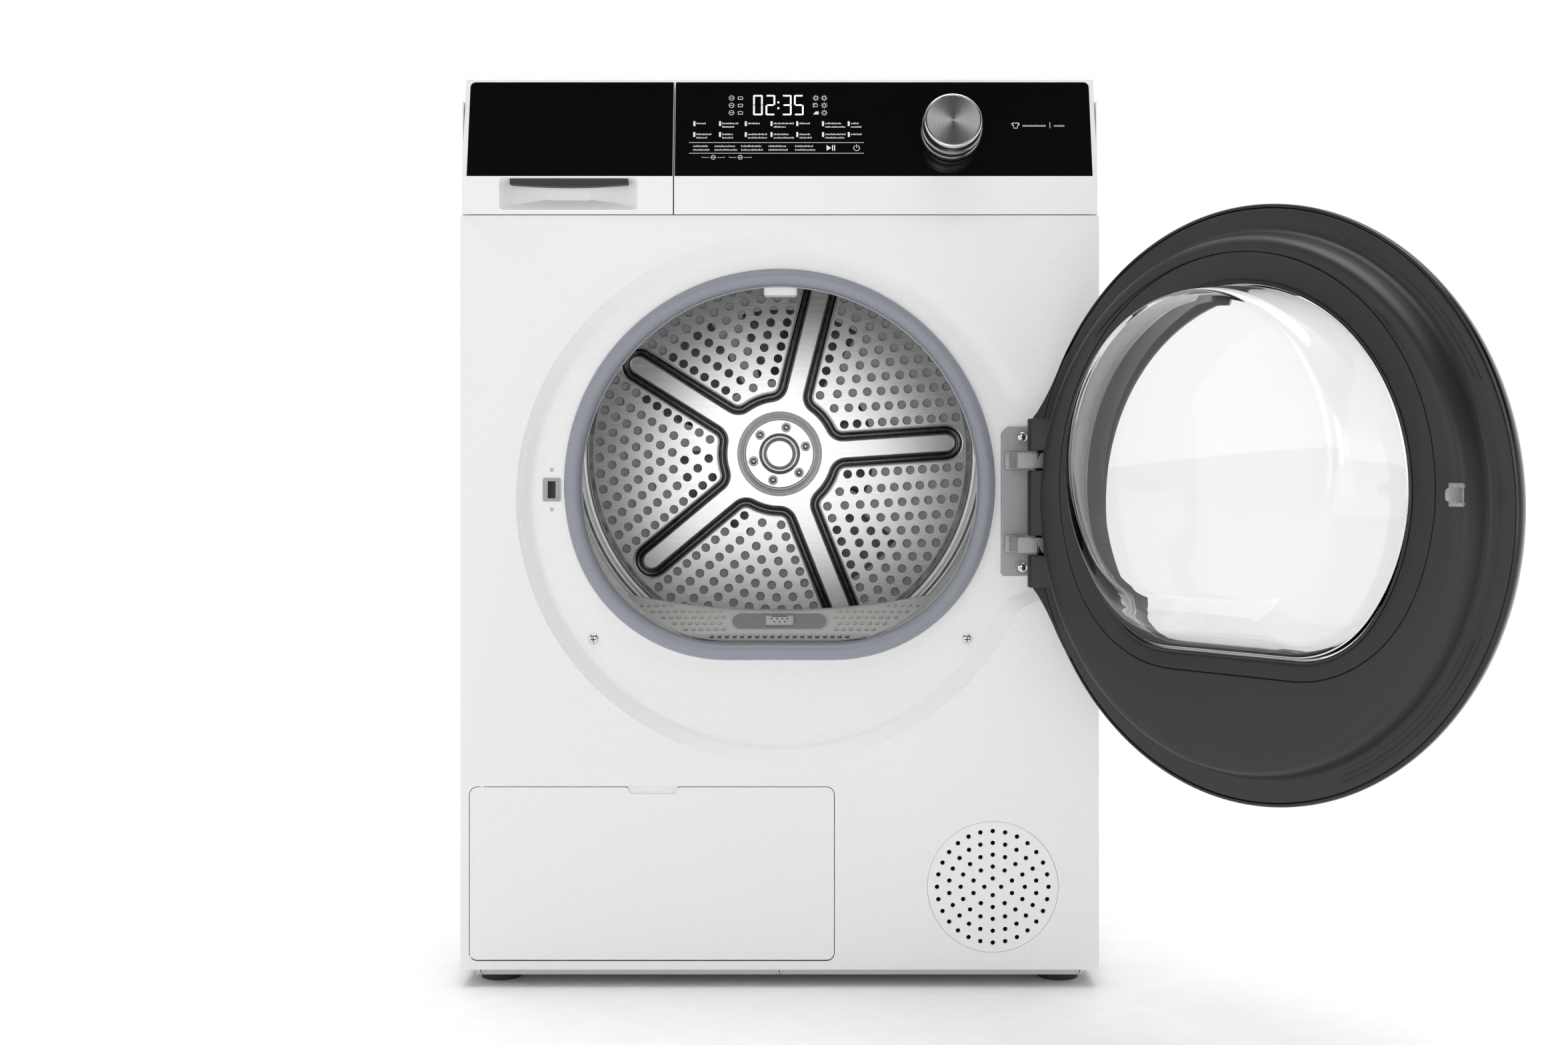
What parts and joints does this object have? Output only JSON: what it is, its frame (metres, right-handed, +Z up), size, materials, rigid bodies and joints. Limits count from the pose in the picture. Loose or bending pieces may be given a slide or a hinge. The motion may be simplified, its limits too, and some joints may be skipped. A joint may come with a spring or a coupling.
{
  "type": "clothes dryer",
  "caption": "Front-loading heat-pump clothes dryer with glass-bowl door, turning steel drum, tank drawer, selector knob, lint filter, service flap and levelling feet.",
  "frame": {"origin": "on the floor, on the cabinet's centre line, straight below the outer face of the front panel", "axes": "+X to the right seen from the front, +Y into the machine towards its back, +Z up"},
  "size_m": [0.8383, 1.021, 0.85],
  "materials": {
    "white_enamel": "fine textured powder coat",
    "white_plastic": "moulded ABS, satin",
    "base_plastic": "moulded polypropylene, grey",
    "duct_plastic": "moulded polypropylene, light grey",
    "galvanised": "galvanised sheet",
    "stainless": "brushed stainless steel",
    "zinc": "die-cast zinc, speckled",
    "screw_steel": "bright plated screws",
    "black_glass": "black back-painted glass",
    "clear_glass": "pressed clear glass",
    "door_plastic": "satin dark grey ABS",
    "door_gloss": "piano black ABS",
    "seal_rubber": "soft grey-blue EPDM",
    "felt": "needled wool felt",
    "lamp_plastic": "frosted polycarbonate",
    "filter_plastic": "moulded light warm grey",
    "aluminium": "spun-brushed, bright",
    "fins": "rolled fin stock",
    "copper": "drawn copper tube",
    "dark_machine": "black stoved enamel",
    "motor_paint": "grey enamel",
    "black_plastic": "moulded black polyamide",
    "black_rubber": "moulded rubber",
    "lever_blue": "moulded blue",
    "circuit_board": "green solder mask",
    "tank_plastic": "translucent polypropylene",
    "hose_plastic": "corrugated hose, grey"
  },
  "bodies": {
    "cabinet": {"base_module": "base_plastic", "side_panel_left": "white_enamel", "side_panel_right": "white_enamel", "rear_panel": "galvanised", "rear_cover": "galvanised", "worktop": "white_plastic", "front_panel": "white_enamel", "front_screws": "screw_steel", "air_intake_grille": "white_plastic", "fascia": "white_plastic", "control_glass": "black_glass", "control_board": "circuit_board", "front_bulkhead": "duct_plastic", "door_gasket": "seal_rubber", "felt_seals": "felt", "drum_lamp": "lamp_plastic", "door_lock": "zinc", "hinge_bracket": "zinc", "hinge_pins": "screw_steel", "rear_air_duct": "duct_plastic", "process_air_duct": "duct_plastic", "motor_housing": "motor_paint", "drive_belt": "black_rubber", "compressor": "dark_machine", "evaporator": "fins", "condenser": "fins", "refrigerant_pipes": "copper", "condensate_pump": "black_plastic", "condensate_hose": "hose_plastic", "fan_shroud": "black_plastic", "tank_tray": "duct_plastic", "mains_inlet": "black_plastic", "drain_spigot": "hose_plastic", "exchanger_cover": "duct_plastic"},
    "door": {"door_inner_frame": "door_plastic", "door_outer_ring": "door_gloss", "door_window": "clear_glass", "door_glass_bowl": "clear_glass", "door_latch_hook": "zinc"},
    "drum": {"drum_shell": "stainless", "drum_back": "stainless", "drum_hub": "stainless", "hub_screws": "screw_steel", "drum_shaft": "zinc"},
    "motor_shaft": {"motor_rotor": "zinc", "process_impeller": "black_plastic"},
    "roller_left": {"support_roller_left": "black_rubber"},
    "roller_right": {"support_roller_right": "black_rubber"},
    "fan": {"cooling_fan": "black_plastic"},
    "knob": {"program_knob": "aluminium"},
    "tank_drawer": {"tank_drawer_front": "white_plastic", "water_tank": "tank_plastic"},
    "filter": {"lint_filter": "filter_plastic"},
    "flap": {"service_flap": "white_plastic"},
    "lever_left": {"cover_lever_left": "lever_blue"},
    "lever_right": {"cover_lever_right": "lever_blue"},
    "foot_fl": {"foot_front_left": "black_rubber"},
    "foot_fr": {"foot_front_right": "black_rubber"},
    "foot_rl": {"foot_rear_left": "black_rubber"},
    "foot_rr": {"foot_rear_right": "black_rubber"}
  },
  "joints": [
    {"name": "door_hinge", "type": "hinge", "parent": "cabinet", "child": "door", "pos_m": [0.24, -0.026, 0.453], "axis": [0, 0, 1], "range_deg": [-127, 23]},
    {"name": "drum_spin", "type": "hinge", "parent": "cabinet", "child": "drum", "pos_m": [0, 0.3, 0.502], "axis": [0, 1, 0], "continuous": true},
    {"name": "motor_spin", "type": "hinge", "parent": "cabinet", "child": "motor_shaft", "pos_m": [0.15, 0.3, 0.12], "axis": [0, 1, 0], "continuous": true},
    {"name": "roller_left_spin", "type": "hinge", "parent": "cabinet", "child": "roller_left", "pos_m": [-0.18488, 0.095, 0.26536], "axis": [0, 1, 0], "continuous": true},
    {"name": "roller_right_spin", "type": "hinge", "parent": "cabinet", "child": "roller_right", "pos_m": [0.18488, 0.095, 0.26536], "axis": [0, 1, 0], "continuous": true},
    {"name": "cooling_fan_spin", "type": "hinge", "parent": "cabinet", "child": "fan", "pos_m": [0.1983, 0.036, 0.094], "axis": [0, 1, 0], "continuous": true},
    {"name": "knob_turn", "type": "hinge", "parent": "cabinet", "child": "knob", "pos_m": [0.16, 0.01069, 0.79696], "axis": [0, -0.9691, 0.2469], "continuous": true},
    {"name": "tank_drawer_slide", "type": "slide", "parent": "cabinet", "child": "tank_drawer", "axis": [0, -1, 0], "range_m": [0, 0.4]},
    {"name": "filter_lift", "type": "slide", "parent": "cabinet", "child": "filter", "axis": [0, 0, 1], "range_m": [0, 0.13]},
    {"name": "flap_hinge", "type": "hinge", "parent": "cabinet", "child": "flap", "pos_m": [-0.12, 0.006, 0.0365], "axis": [1, 0, 0], "range_deg": [0, 90]},
    {"name": "lever_left_turn", "type": "hinge", "parent": "cabinet", "child": "lever_left", "pos_m": [-0.23, 0.022, 0.112], "axis": [0, 1, 0], "range_deg": [0, 90]},
    {"name": "lever_right_turn", "type": "hinge", "parent": "cabinet", "child": "lever_right", "pos_m": [-0.062, 0.022, 0.112], "axis": [0, -1, 0], "range_deg": [0, 90]},
    {"name": "foot_fl_height", "type": "slide", "parent": "cabinet", "child": "foot_fl", "axis": [0, 0, -1], "range_m": [0, 0.012]},
    {"name": "foot_fr_height", "type": "slide", "parent": "cabinet", "child": "foot_fr", "axis": [0, 0, -1], "range_m": [0, 0.012]},
    {"name": "foot_rl_height", "type": "slide", "parent": "cabinet", "child": "foot_rl", "axis": [0, 0, -1], "range_m": [0, 0.012]},
    {"name": "foot_rr_height", "type": "slide", "parent": "cabinet", "child": "foot_rr", "axis": [0, 0, -1], "range_m": [0, 0.012]}
  ],
  "couplings": [
    {"joint": "motor_spin", "follows": "drum_spin", "ratio": 20.634},
    {"joint": "roller_left_spin", "follows": "drum_spin", "ratio": -13.903},
    {"joint": "roller_right_spin", "follows": "drum_spin", "ratio": -13.903}
  ]
}
